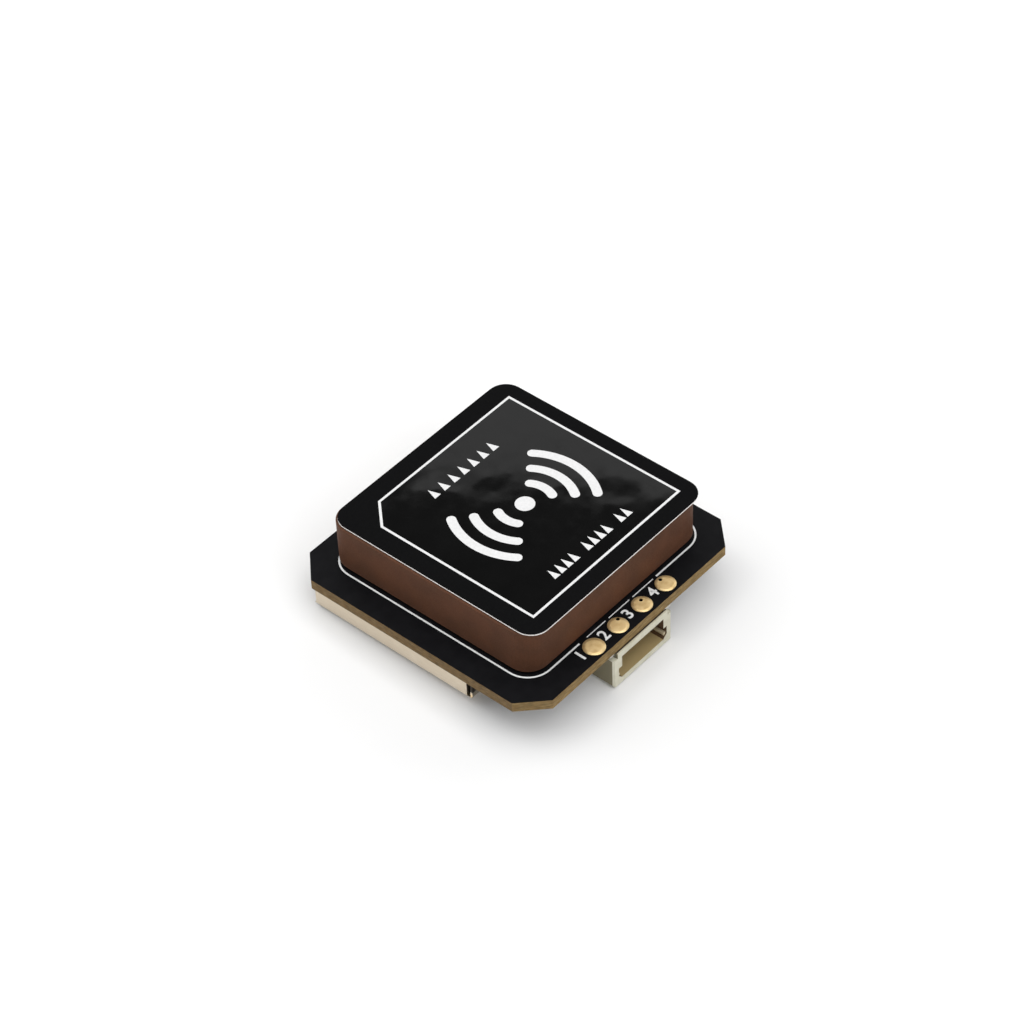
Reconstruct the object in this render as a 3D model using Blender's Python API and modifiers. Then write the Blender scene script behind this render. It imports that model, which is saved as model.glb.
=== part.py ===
"""Satellite receiver module: a ceramic patch antenna on a small chamfered circuit board.

Frame: metres, +Z up. The origin is the middle of the underside of the whole module, so the
connector stands on z = 0. The connector's mouth faces -Y and its four ways run along X.
"""

import math

import bmesh
import bpy
from mathutils import Matrix, Vector

MM = 0.001

# Film of solder, glue or air that is left between two pieces that touch
seat = 0.02 * MM

# Patch antenna, from the board upwards: tape, ground electrode, ceramic, top electrode, label
antenna_width = 18.0 * MM
antenna_length = 18.0 * MM
ceramic_height = 3.6 * MM
ceramic_corner_radius = 1.6 * MM
ceramic_edge_radius = 0.06 * MM
tape_thickness = 0.10 * MM
tape_margin = 0.35 * MM
electrode_thickness = 0.03 * MM
ground_margin = 0.2 * MM
patch_side_margin = 1.4 * MM
patch_end_margin = 1.7 * MM
patch_corner_radius = 1.0 * MM
label_side_margin = 0.04 * MM
label_end_overhang = 0.06 * MM
label_thickness = 0.10 * MM
label_corner_radius = 1.4 * MM
label_shift_x = 0.09 * MM
label_shift_y = -0.24 * MM

# Circuit board: it reaches past the antenna on each side, and its corners are cut at 45 degrees
board_left_margin = 2.22 * MM
board_right_margin = 1.68 * MM
board_front_margin = 2.14 * MM
board_back_margin = 1.56 * MM
board_thickness = 0.8 * MM
board_corner_cut = 1.88 * MM

# Feed pin, which joins the top electrode to the board's underside
feed_offset = 1.9 * MM
feed_radius = 0.4 * MM
feed_clearance = 0.05 * MM
feed_head_radius = 0.8 * MM
feed_head_height = 0.2 * MM
feed_tail = 0.5 * MM
feed_tail_taper = 0.15 * MM
feed_isolation_radius = 1.3 * MM

# Round solder pads along the front edge of the board
pad_count = 4
pad_pitch = 2.5 * MM
pad_edge_distance = 0.93 * MM
pad_radius = 0.745 * MM
first_pad_radius = 0.80 * MM
pad_thickness = 0.07 * MM
pad_rim_radius = 0.04 * MM
via_radius = 0.145 * MM
# Each via's place from its pad's centre; the first pad has none
via_places = {2: (0.42 * MM, 0.36 * MM), 3: (0.25 * MM, 0.30 * MM), 4: (0.04 * MM, 0.48 * MM)}

# Shield can: one folded sheet, open towards the board
can_side_inset = 0.45 * MM
can_back_inset = 1.58 * MM
can_front_inset = 5.91 * MM
can_height = 2.2 * MM
can_sheet = 0.2 * MM
can_bend_radius = 0.4 * MM
can_slit_width = 0.2 * MM
can_wall_relief = 0.12 * MM

# Side-entry connector under the front edge of the board
way_count = 4
way_pitch = 1.0 * MM
connector_width = 6.15 * MM
connector_height = 2.95 * MM
connector_depth = 3.65 * MM
connector_overhang = 0.17 * MM
connector_shift_x = -0.02 * MM
connector_clearance = 0.08 * MM
connector_corner_chamfer = 0.12 * MM
connector_foot_chamfer = 0.18 * MM
mouth_board_wall = 0.53 * MM
mouth_base_wall = 0.43 * MM
mouth_side_wall = 0.55 * MM
mouth_back_wall = 0.75 * MM
key_width = 0.34 * MM
key_height = 0.92 * MM
mouth_corner_cut = 0.33 * MM
tab_notch_width = 0.45 * MM
tab_notch_height = 0.44 * MM
tab_notch_depth = 2.2 * MM

# Connector contacts: flat blades that leave at the back and fold up to the board
contact_width = 0.3 * MM
contact_thickness = 0.2 * MM
contact_bend_radius = 0.12 * MM
contact_reach = 2.2 * MM
contact_foot = 0.6 * MM
contact_clearance = 0.03 * MM
contact_tip_taper = 0.06 * MM

# Solder tabs that hold the connector's two sides
tab_thickness = 0.18 * MM
tab_length = 1.7 * MM
tab_setback = 0.2 * MM
tab_depth = 1.25 * MM
tab_reach = 0.12 * MM
tab_clearance = 0.03 * MM

# Parts on the underside of the board
part_spacing = 0.9 * MM
row_wall_inset = 1.5 * MM
row_start_inset = 1.7 * MM
chip_size = 5.0 * MM
chip_height = 0.8 * MM
chip_edge_radius = 0.04 * MM
chip_mark_radius = 0.3 * MM
chip_mark_inset = 0.75 * MM
small_mark_radius = 0.15 * MM
small_mark_inset = 0.35 * MM
mark_depth = 0.05 * MM
oscillator_width = 2.5 * MM
oscillator_length = 2.0 * MM
oscillator_height = 0.8 * MM
crystal_width = 3.2 * MM
crystal_length = 1.5 * MM
crystal_height = 0.75 * MM
filter_width = 1.4 * MM
filter_length = 1.1 * MM
filter_height = 0.6 * MM
amplifier_width = 1.5 * MM
amplifier_length = 1.3 * MM
amplifier_height = 0.55 * MM
lid_inset = 0.12 * MM
lid_height = 0.12 * MM
passive_width = 1.0 * MM
passive_length = 0.5 * MM
passive_height = 0.5 * MM
passive_cap = 0.22 * MM
passive_step = 0.02 * MM
resistor_height = 0.35 * MM
inductor_width = 1.6 * MM
inductor_length = 0.8 * MM
inductor_height = 0.8 * MM

# Voltage regulator: a five-lead package beside the connector
regulator_width = 2.9 * MM
regulator_length = 1.6 * MM
regulator_height = 1.1 * MM
regulator_stand_off = 0.08 * MM
regulator_draft = 0.1 * MM
lead_pitch = 0.95 * MM
lead_width = 0.4 * MM
lead_thickness = 0.15 * MM
lead_reach = 0.6 * MM
lead_foot = 0.35 * MM
lead_root = 0.2 * MM
front_part_inset = 3.0 * MM
side_part_inset = 4.0 * MM
connector_part_gap = 1.8 * MM

# Fineness of round shapes, and the least angles in degrees that are eased or kept sharp
round_segments = 48
small_segments = 20
corner_segments = 8
bend_segments = 4
eased_angle = 40
sharp_angle = 30
weld_distance = 0.0001 * MM

# Levels and places that follow from the sizes
board_width = antenna_width + board_left_margin + board_right_margin
board_length = antenna_length + board_front_margin + board_back_margin
board_bottom = connector_height + connector_clearance
board_top = board_bottom + board_thickness
board_y = connector_overhang / 2
front_edge = board_y - board_length / 2
back_edge = board_y + board_length / 2
antenna_x = (board_left_margin - board_right_margin) / 2
antenna_y = board_y + (board_front_margin - board_back_margin) / 2
tape_low = board_top + seat
ground_low = tape_low + tape_thickness + seat
ceramic_low = ground_low + electrode_thickness + seat
ceramic_high = ceramic_low + ceramic_height
patch_low = ceramic_high + seat
patch_high = patch_low + electrode_thickness
label_low = patch_high + seat
feed_x = antenna_x
feed_y = antenna_y + feed_offset
can_back = back_edge - can_back_inset
can_front = front_edge + can_front_inset
can_y = (can_front + can_back) / 2
can_width = board_width - 2 * can_side_inset
can_length = can_back - can_front
can_high = board_bottom - seat
can_low = can_high - can_height
mouth_y = front_edge - connector_overhang
connector_back = mouth_y + connector_depth
connector_x = connector_shift_x
overcut = 1.0 * MM


def collection(name):
    made = bpy.data.collections.new(name)
    bpy.context.scene.collection.children.link(made)
    return made


def material(name, colour, roughness, metallic):
    made = bpy.data.materials.new(name)
    made.use_nodes = True
    shader = made.node_tree.nodes["Principled BSDF"]
    shader.inputs["Base Color"].default_value = (*colour, 1.0)
    shader.inputs["Roughness"].default_value = roughness
    shader.inputs["Metallic"].default_value = metallic
    made.diffuse_color = (*colour, 1.0)
    return made


def add_object(name, mesh, location, finish):
    """A sub-part when it has a finish, and otherwise a cutter."""
    made = bpy.data.objects.new(name, mesh)
    made.location = location
    if finish:
        made.data.materials.append(finish)
        module.objects.link(made)
    else:
        made.hide_render = True
        made.display_type = "WIRE"
        cutters.objects.link(made)
    return made


def block(name, low, high, finish=None):
    """A box between two corners, with its origin in the middle."""
    low = Vector(low)
    high = Vector(high)
    shape = bmesh.new()
    bmesh.ops.create_cube(shape, size=1.0)
    bmesh.ops.scale(shape, vec=high - low, verts=shape.verts)
    mesh = bpy.data.meshes.new(name)
    shape.to_mesh(mesh)
    shape.free()
    return add_object(name, mesh, (low + high) / 2, finish)


def centred_block(name, centre, size, low_z, high_z, finish=None):
    x, y = centre
    width, length = size
    low = (x - width / 2, y - length / 2, low_z)
    high = (x + width / 2, y + length / 2, high_z)
    return block(name, low, high, finish)


def cylinder(name, radius, centre, low_z, high_z, segments, finish=None):
    shape = bmesh.new()
    bmesh.ops.create_cone(
        shape, cap_ends=True, segments=segments, radius1=radius, radius2=radius, depth=high_z - low_z
    )
    mesh = bpy.data.meshes.new(name)
    shape.to_mesh(mesh)
    shape.free()
    made = add_object(name, mesh, (*centre, (low_z + high_z) / 2), finish)
    if finish:
        smooth(made)
    return made


def smooth(obj):
    obj.data.shade_smooth()
    obj.data.set_sharp_from_angle(angle=math.radians(sharp_angle))


def turned(name, profile, centre, finish):
    """A solid of revolution about Z, from (radius, height) points listed top to bottom."""
    shape = bmesh.new()
    points = [shape.verts.new((radius, 0.0, height)) for radius, height in profile]
    for upper, lower in zip(points, points[1:]):
        shape.edges.new((upper, lower))
    mesh = bpy.data.meshes.new(name)
    shape.to_mesh(mesh)
    shape.free()
    made = add_object(name, mesh, (*centre, 0.0), finish)
    screw = made.modifiers.new("turn", "SCREW")
    screw.steps = small_segments
    screw.render_steps = small_segments
    screw.use_merge_vertices = True
    screw.merge_threshold = weld_distance


def outline_solid(name, points, depth, turn, location, finish=None):
    """A flat outline extruded by depth about its plane; turn takes the outline's axes to the part's."""
    curve = bpy.data.curves.new(name, "CURVE")
    curve.dimensions = "2D"
    curve.fill_mode = "BOTH"
    curve.extrude = depth / 2
    spline = curve.splines.new("POLY")
    spline.points.add(len(points) - 1)
    for point, (u, v) in zip(spline.points, points):
        point.co = (u, v, 0.0, 1.0)
    spline.use_cyclic_u = True
    guide = bpy.data.objects.new(name + "_outline", curve)
    bpy.context.scene.collection.objects.link(guide)
    graph = bpy.context.evaluated_depsgraph_get()
    mesh = bpy.data.meshes.new_from_object(guide.evaluated_get(graph))
    bpy.data.objects.remove(guide)
    bpy.data.curves.remove(curve)
    shape = bmesh.new()
    shape.from_mesh(mesh)
    bmesh.ops.remove_doubles(shape, verts=shape.verts, dist=weld_distance)
    bmesh.ops.recalc_face_normals(shape, faces=shape.faces)
    bmesh.ops.transform(shape, matrix=turn, verts=shape.verts)
    shape.to_mesh(mesh)
    shape.free()
    mesh.name = name
    mesh.materials.clear()
    return add_object(name, mesh, location, finish)


# An outline drawn in X and Z is extruded along Y, and one drawn in Y and Z along X
ALONG_Y = Matrix(((1, 0, 0, 0), (0, 0, -1, 0), (0, 1, 0, 0), (0, 0, 0, 1)))
ALONG_X = Matrix(((0, 0, 1, 0), (1, 0, 0, 0), (0, 1, 0, 0), (0, 0, 0, 1)))
UPRIGHT = Matrix.Identity(4)


def bevel_weights(obj, share):
    """Marks edges for a Bevel: share(start, end) is true, false or a part of its width."""
    shape = bmesh.new()
    shape.from_mesh(obj.data)
    layer = shape.edges.layers.float.new("bevel_weight_edge")
    for edge in shape.edges:
        start, end = (vert.co for vert in edge.verts)
        edge[layer] = float(share(start, end))
    shape.to_mesh(obj.data)
    shape.free()


def round_marked(obj, radius, segments):
    bevel = obj.modifiers.new("rounded corners", "BEVEL")
    bevel.limit_method = "WEIGHT"
    bevel.width = radius
    bevel.segments = segments


def is_upright(start, end):
    return math.hypot(start.x - end.x, start.y - end.y) < seat


def round_upright(obj, radius, segments):
    bevel_weights(obj, is_upright)
    round_marked(obj, radius, segments)


def ease(obj, radius, segments=1):
    bevel = obj.modifiers.new("eased edges", "BEVEL")
    bevel.limit_method = "ANGLE"
    bevel.angle_limit = math.radians(eased_angle)
    bevel.width = radius
    bevel.segments = segments


def combine(obj, other, operation):
    boolean = obj.modifiers.new(other.name, "BOOLEAN")
    boolean.operation = operation
    boolean.solver = "EXACT"
    boolean.object = other


def cut(obj, *tools):
    for tool in tools:
        combine(obj, tool, "DIFFERENCE")


def join(obj, *additions):
    for addition in additions:
        combine(obj, addition, "UNION")


def build_board():
    half_x = board_width / 2
    half_y = board_length / 2
    inner_x = half_x - board_corner_cut
    inner_y = half_y - board_corner_cut
    outline = [
        (-inner_x, -half_y),
        (inner_x, -half_y),
        (half_x, -inner_y),
        (half_x, inner_y),
        (inner_x, half_y),
        (-inner_x, half_y),
        (-half_x, inner_y),
        (-half_x, -inner_y),
    ]
    middle = (0.0, board_y, (board_bottom + board_top) / 2)
    board = outline_solid("circuit_board", outline, board_thickness, UPRIGHT, middle, board_black)
    cut(board, feed_hole)
    cut(board, *via_holes.values())


def pad_x(number):
    return (number - (pad_count + 1) / 2) * pad_pitch


def build_via_holes():
    made = {}
    for number, (shift_x, shift_y) in via_places.items():
        centre = (pad_x(number) + shift_x, front_edge + pad_edge_distance + shift_y)
        low = board_bottom - overcut
        high = board_top + overcut
        made[number] = cylinder(f"via_hole_{number}", via_radius, centre, low, high, small_segments)
    return made


def build_pads():
    for number in range(1, pad_count + 1):
        radius = first_pad_radius if number == 1 else pad_radius
        centre = (pad_x(number), front_edge + pad_edge_distance)
        low = board_top + seat
        high = low + pad_thickness
        pad = cylinder(f"solder_pad_{number}", radius, centre, low, high, round_segments, gold)
        ease(pad, pad_rim_radius, 2)
        if number in via_holes:
            cut(pad, via_holes[number])


def build_feed_hole():
    radius = feed_radius + feed_clearance
    low = board_bottom - overcut
    high = label_low + overcut
    return cylinder("feed_hole", radius, (feed_x, feed_y), low, high, small_segments)


def build_antenna():
    centre = (antenna_x, antenna_y)
    size = (antenna_width, antenna_length)

    tape_size = [side - 2 * tape_margin for side in size]
    tape = centred_block(
        "antenna_tape", centre, tape_size, tape_low, tape_low + tape_thickness, tape_black
    )
    round_upright(tape, ceramic_corner_radius - tape_margin, corner_segments)
    cut(tape, feed_hole)

    ground_size = [side - 2 * ground_margin for side in size]
    ground_high = ground_low + electrode_thickness
    ground = centred_block(
        "antenna_ground_electrode", centre, ground_size, ground_low, ground_high, silver
    )
    round_upright(ground, ceramic_corner_radius - ground_margin, corner_segments)
    isolation = cylinder(
        "feed_isolation",
        feed_isolation_radius,
        (feed_x, feed_y),
        ground_low - seat,
        ground_high + seat,
        small_segments,
    )
    cut(ground, isolation)

    ceramic = centred_block("antenna_ceramic", centre, size, ceramic_low, ceramic_high, ceramic_brown)
    round_upright(ceramic, ceramic_corner_radius, corner_segments)
    ease(ceramic, ceramic_edge_radius)
    smooth(ceramic)
    head_floor = patch_high - feed_head_height - seat
    head_recess = cylinder(
        "feed_head_recess",
        feed_head_radius + feed_clearance,
        (feed_x, feed_y),
        head_floor,
        label_low + overcut,
        small_segments,
    )
    cut(ceramic, feed_hole, head_recess)

    patch_size = (antenna_width - 2 * patch_side_margin, antenna_length - 2 * patch_end_margin)
    patch = centred_block("antenna_top_electrode", centre, patch_size, patch_low, patch_high, silver)
    round_upright(patch, patch_corner_radius, corner_segments)
    cut(patch, head_recess)

    label_centre = (antenna_x + label_shift_x, antenna_y + label_shift_y)
    label_size = (antenna_width - 2 * label_side_margin, antenna_length + 2 * label_end_overhang)
    label = centred_block(
        "antenna_label", label_centre, label_size, label_low, label_low + label_thickness, label_black
    )
    round_upright(label, label_corner_radius, corner_segments)
    smooth(label)


def build_feed_pin():
    head_low = patch_high - feed_head_height
    tail = board_bottom - feed_tail
    profile = [
        (0.0, patch_high),
        (feed_head_radius, patch_high),
        (feed_head_radius, head_low),
        (feed_radius, head_low),
        (feed_radius, tail + feed_tail_taper),
        (feed_radius - feed_tail_taper, tail),
        (0.0, tail),
    ]
    turned("antenna_feed_pin", profile, (feed_x, feed_y), silver)


def build_can():
    """A folded tray: a box without its board side, bent edges, sheet thickness and slit corners."""
    can = centred_block("shield_can", (0.0, can_y), (can_width, can_length), can_low, can_high, tin)
    shape = bmesh.new()
    shape.from_mesh(can.data)
    top = max(shape.faces, key=lambda face: face.calc_center_median().z)
    bmesh.ops.delete(shape, geom=[top], context="FACES_ONLY")
    shape.to_mesh(can.data)
    shape.free()
    bevel_weights(can, lambda start, end: start.z < 0 and end.z < 0)
    round_marked(can, can_bend_radius, bend_segments)
    sheet = can.modifiers.new("sheet", "SOLIDIFY")
    sheet.thickness = can_sheet
    sheet.offset = -1.0
    sheet.use_even_offset = True
    smooth(can)

    # In front the side walls stop short of the end wall, and at the back the end wall of them
    for side in (-1, 1):
        for end in (-1, 1):
            corner = (side * can_width / 2, can_y + end * can_length / 2)
            cut(can, *can_corner_cutters(f"{side}_{end}", corner, (side, end), end < 0))


def can_corner_cutters(label, corner, outward, side_wall_short):
    """A slit beside the wall that runs to the corner, and a trim that sets that wall's end back."""
    short, full = (1, 0) if side_wall_short else (0, 1)

    def inset(axis, distance):
        return corner[axis] - outward[axis] * distance

    slit_outer = inset(short, can_sheet)
    slit_inner = inset(short, can_sheet + can_slit_width)
    spans = {
        "slit": {
            short: (slit_outer, slit_inner),
            full: (inset(full, 2 * can_sheet), inset(full, -overcut)),
        },
        "trim": {
            short: (slit_inner, inset(short, -overcut)),
            full: (inset(full, can_wall_relief), inset(full, -overcut)),
        },
    }
    made = []
    for name, span in spans.items():
        low = (min(span[0]), min(span[1]), can_low + can_bend_radius)
        high = (max(span[0]), max(span[1]), can_high + overcut)
        made.append(block(f"can_{name}_{label}", low, high))
    return made


def socket_outline():
    """The mouth's section in X and Z from the housing's top: keyed towards the board."""
    wide = connector_width / 2 - mouth_side_wall
    narrow = wide - key_width
    top = -mouth_board_wall
    step = top - key_height
    floor = mouth_base_wall - connector_height
    return [
        (-narrow, top),
        (-narrow, step),
        (-wide, step),
        (-wide, floor + mouth_corner_cut),
        (-wide + mouth_corner_cut, floor),
        (wide - mouth_corner_cut, floor),
        (wide, floor + mouth_corner_cut),
        (wide, step),
        (narrow, step),
        (narrow, top),
    ]


def way_x(number):
    return connector_x + (number - (way_count + 1) / 2) * way_pitch


def build_connector_housing():
    half = connector_width / 2
    low = (connector_x - half, mouth_y, 0.0)
    high = (connector_x + half, connector_back, connector_height)
    housing = block("connector_housing", low, high, ivory)

    def edge_share(start, end):
        """The two long edges at the foot, and less of the two upright ones beside the mouth."""
        if is_upright(start, end):
            return start.y < 0 and connector_corner_chamfer / connector_foot_chamfer
        return start.z < 0 and end.z < 0 and abs(start.x - end.x) < seat

    bevel_weights(housing, edge_share)
    round_marked(housing, connector_foot_chamfer, 1)

    depth = connector_depth - mouth_back_wall
    middle = (connector_x, mouth_y + (depth - overcut) / 2, connector_height)
    cut(housing, outline_solid("socket", socket_outline(), depth + overcut, ALONG_Y, middle))

    for side in (-1, 1):
        notch_x = (connector_x + side * (half - tab_notch_width), connector_x + side * (half + overcut))
        low = (min(notch_x), mouth_y - overcut, connector_height - tab_notch_height)
        high = (max(notch_x), mouth_y + tab_notch_depth, connector_height + overcut)
        notch = block(f"tab_notch_{side}", low, high)
        inner, outer = tab_plate_faces(side)
        slot_x = (inner - side * tab_clearance, outer + side * tab_clearance)
        slot_low = (
            min(slot_x),
            mouth_y + tab_setback - tab_clearance,
            board_bottom - seat - tab_depth - tab_clearance,
        )
        slot_high = (
            max(slot_x),
            mouth_y + tab_setback + tab_length + tab_clearance,
            connector_height + overcut,
        )
        slot = block(f"tab_slot_{side}", slot_low, slot_high)
        cut(housing, notch, slot)

    for number in range(1, way_count + 1):
        reach = contact_width / 2 + contact_clearance
        level = contact_level()
        rise = contact_thickness / 2 + contact_clearance
        low = (way_x(number) - reach, connector_back - mouth_back_wall - overcut, level - rise)
        high = (way_x(number) + reach, connector_back + overcut, level + rise)
        cut(housing, block(f"contact_hole_{number}", low, high))


def contact_level():
    """The blades run along the middle of the mouth."""
    return (mouth_base_wall + connector_height - mouth_board_wall) / 2


def build_contacts():
    """Each contact is a strip: a blade, a riser behind the housing and a foot on the board."""
    half = contact_thickness / 2
    level = contact_level()
    tip = connector_back - mouth_back_wall - contact_reach
    riser = connector_back + contact_clearance
    foot_end = riser + contact_thickness + contact_foot
    foot_top = board_bottom - seat
    foot_low = foot_top - contact_thickness
    outline = [
        (tip, level - half + contact_tip_taper),
        (tip + 2 * contact_tip_taper, level - half),
        (riser + contact_thickness, level - half),
        (riser + contact_thickness, foot_low),
        (foot_end, foot_low),
        (foot_end, foot_top),
        (riser, foot_top),
        (riser, level + half),
        (tip + 2 * contact_tip_taper, level + half),
        (tip, level + half - contact_tip_taper),
    ]
    outer_bends = ((riser + contact_thickness, level - half), (riser, foot_top))

    def at_bend(start, end):
        along = abs(start.x - end.x) > contact_width / 2
        return along and any(math.hypot(start.y - y, start.z - z) < seat for y, z in outer_bends)

    for number in range(1, way_count + 1):
        name = f"connector_contact_{number}"
        middle = (way_x(number), 0.0, 0.0)
        contact = outline_solid(name, outline, contact_width, ALONG_X, middle, bright_tin)
        bevel_weights(contact, at_bend)
        round_marked(contact, contact_bend_radius, bend_segments)


def tab_plate_faces(side):
    """The inner and outer X of the tab's upright plate, which stands inside the notch's root."""
    inner = connector_x + side * (connector_width / 2 - tab_notch_width - tab_thickness)
    return inner, inner + side * tab_thickness


def build_tabs():
    """Each solder tab is an angle: a plate down into the housing and a foot along the board."""
    for side, name in ((-1, "connector_tab_left"), (1, "connector_tab_right")):
        inner, outer = tab_plate_faces(side)
        end = connector_x + side * (connector_width / 2 + tab_reach)
        top = board_bottom - seat
        outline = [
            (inner, top),
            (inner, top - tab_depth),
            (outer, top - tab_depth),
            (outer, top - tab_thickness),
            (end, top - tab_thickness),
            (end, top),
        ]
        middle = (0.0, mouth_y + tab_setback + tab_length / 2, 0.0)
        outline_solid(name, outline, tab_length, ALONG_Y, middle, bright_tin)


def hang(name, centre, size, height, finish, gap=seat):
    """A block that hangs from the board's underside."""
    high = board_bottom - gap
    return centred_block(name, centre, size, high - height, high, finish)


def lidded_package(name, centre, size, height, finish):
    """A ceramic base with a metal lid, sealed as one package."""
    body = hang(name, centre, size, height - lid_height, finish)
    lid_size = [side - 2 * lid_inset for side in size]
    low = board_bottom - seat - height
    lid = centred_block(name + "_lid", centre, lid_size, low, low + 2 * lid_height)
    join(body, lid)


def marked_package(name, centre, size, height, finish, mark_radius, mark_inset):
    """A moulded package with a round recess that marks its first corner."""
    body = hang(name, centre, size, height, finish)
    ease(body, chip_edge_radius)
    mark_centre = (centre[0] - size[0] / 2 + mark_inset, centre[1] + size[1] / 2 - mark_inset)
    low = board_bottom - seat - height
    mark = cylinder(
        name + "_mark", mark_radius, mark_centre, low - overcut, low + mark_depth, small_segments
    )
    cut(body, mark)


def chip_package(name, centre, size, height, finish):
    marked_package(name, centre, size, height, finish, chip_mark_radius, chip_mark_inset)


def small_chip_package(name, centre, size, height, finish):
    marked_package(name, centre, size, height, finish, small_mark_radius, small_mark_inset)


def passive(name, centre, size, height, finish):
    """A chip part: a body between two end caps that stand a little proud of it."""
    x, y = centre
    width, length = size
    core = (width - passive_cap, length - 2 * passive_step)
    body = hang(name, centre, core, height - 2 * passive_step, finish, seat + passive_step)
    for side in (-1, 1):
        cap_x = x + side * (width - passive_cap) / 2
        high = board_bottom - seat
        cap = centred_block(f"{name}_cap_{side}", (cap_x, y), (passive_cap, length), high - height, high)
        join(body, cap)


def place_row(y, start_x, entries):
    """Sets parts side by side along X, each a named spacing from the last."""
    x = start_x
    for make, name, size, height, finish in entries:
        make(name, (x + size[0] / 2, y), size, height, finish)
        x += size[0] + part_spacing


def build_shielded_parts():
    small = (passive_width, passive_length)
    oscillator = (oscillator_width, oscillator_length)
    crystal = (crystal_width, crystal_length)
    chip = (chip_size, chip_size)
    amplifier = (amplifier_width, amplifier_length)
    band = (filter_width, filter_length)
    coil = (inductor_width, inductor_length)
    start_x = -can_width / 2 + row_start_inset
    beside_feed = feed_x + feed_isolation_radius + part_spacing

    timing_row = (
        (lidded_package, "reference_oscillator", oscillator, oscillator_height, steel),
        (lidded_package, "clock_crystal", crystal, crystal_height, steel),
        (passive, "capacitor_1", small, passive_height, ochre),
        (passive, "capacitor_2", small, passive_height, ochre),
        (passive, "resistor_1", small, resistor_height, graphite),
    )
    receiver_row = ((chip_package, "receiver_chip", chip, chip_height, graphite),)
    signal_row = (
        (small_chip_package, "low_noise_amplifier", amplifier, amplifier_height, graphite),
        (lidded_package, "band_filter", band, filter_height, steel),
    )
    supply_row = (
        (passive, "capacitor_3", small, passive_height, ochre),
        (passive, "inductor", coil, inductor_height, graphite),
        (passive, "capacitor_4", small, passive_height, ochre),
        (passive, "resistor_2", small, resistor_height, graphite),
    )
    place_row(can_front + can_sheet + row_wall_inset, start_x, timing_row)
    place_row(can_y, start_x, receiver_row)
    place_row(can_y, beside_feed, signal_row)
    place_row(can_back - can_sheet - row_wall_inset, start_x, supply_row)


def lead_outline(root_y, direction):
    """A gull-wing lead in Y and Z: out of the body's side, up to the board, then a foot."""
    level = board_bottom - seat - regulator_height / 2
    bend = root_y + direction * (lead_root + lead_reach - lead_foot)
    end = bend + direction * lead_foot
    top = board_bottom - seat
    half = lead_thickness / 2
    return [
        (root_y, level - half),
        (bend, level - half),
        (bend, top - lead_thickness),
        (end, top - lead_thickness),
        (end, top),
        (bend - direction * lead_thickness, top),
        (bend - direction * lead_thickness, level + half),
        (root_y, level + half),
    ]


def build_regulator():
    x = -board_width / 2 + side_part_inset
    y = front_edge + front_part_inset
    high = board_bottom - seat - regulator_stand_off
    low = board_bottom - seat - regulator_height
    middle = (low + high) / 2
    half = regulator_width / 2
    slim = half - regulator_draft
    section = [(-slim, low), (slim, low), (half, middle), (slim, high), (-slim, high), (-half, middle)]
    body = outline_solid(
        "voltage_regulator", section, regulator_length, ALONG_Y, (x, y, 0.0), graphite
    )
    for side, slots in ((-1, (-1, 0, 1)), (1, (-1, 1))):
        root = y + side * (regulator_length / 2 - lead_root)
        outline = lead_outline(root, side)
        for slot in slots:
            place = (x + slot * lead_pitch, 0.0, 0.0)
            lead = outline_solid(f"regulator_lead_{side}_{slot}", outline, lead_width, ALONG_X, place)
            join(body, lead)


def build_front_parts():
    small = (passive_width, passive_length)
    start_x = connector_x + connector_width / 2 + connector_part_gap
    front_row = (
        (passive, "capacitor_5", small, passive_height, ochre),
        (passive, "resistor_3", small, resistor_height, graphite),
    )
    place_row(front_edge + front_part_inset, start_x, front_row)


for old in list(bpy.data.objects):
    bpy.data.objects.remove(old, do_unlink=True)

module = collection("gps_module")
cutters = collection("cutters")
cutters.hide_render = True

board_black = material("board_black", (0.010, 0.010, 0.011), 0.45, 0.0)
gold = material("gold", (0.80, 0.58, 0.28), 0.3, 1.0)
ceramic_brown = material("ceramic_brown", (0.090, 0.042, 0.028), 0.6, 0.0)
silver = material("silver", (0.75, 0.75, 0.74), 0.35, 1.0)
tape_black = material("tape_black", (0.02, 0.02, 0.02), 0.8, 0.0)
label_black = material("label_black", (0.007, 0.007, 0.008), 0.3, 0.0)
tin = material("tin", (0.66, 0.62, 0.55), 0.3, 1.0)
bright_tin = material("bright_tin", (0.72, 0.72, 0.70), 0.25, 1.0)
ivory = material("ivory", (0.68, 0.66, 0.52), 0.5, 0.0)
graphite = material("graphite", (0.015, 0.015, 0.016), 0.55, 0.0)
steel = material("steel", (0.55, 0.54, 0.50), 0.3, 1.0)
ochre = material("ochre", (0.35, 0.24, 0.14), 0.5, 0.0)

feed_hole = build_feed_hole()
via_holes = build_via_holes()
build_board()
build_pads()
build_antenna()
build_feed_pin()
build_can()
build_connector_housing()
build_contacts()
build_tabs()
build_shielded_parts()
build_regulator()
build_front_parts()
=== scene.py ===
"""Looks of the satellite receiver module: finishes, printing, solder, camera and a pale studio.

Everything is in metres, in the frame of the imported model. Places on the antenna and on the board
are given from the middle of the ceramic, and places on the label from the middle of the label.
"""

import math

import bmesh
import bpy
from mathutils import Matrix, Vector


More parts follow.
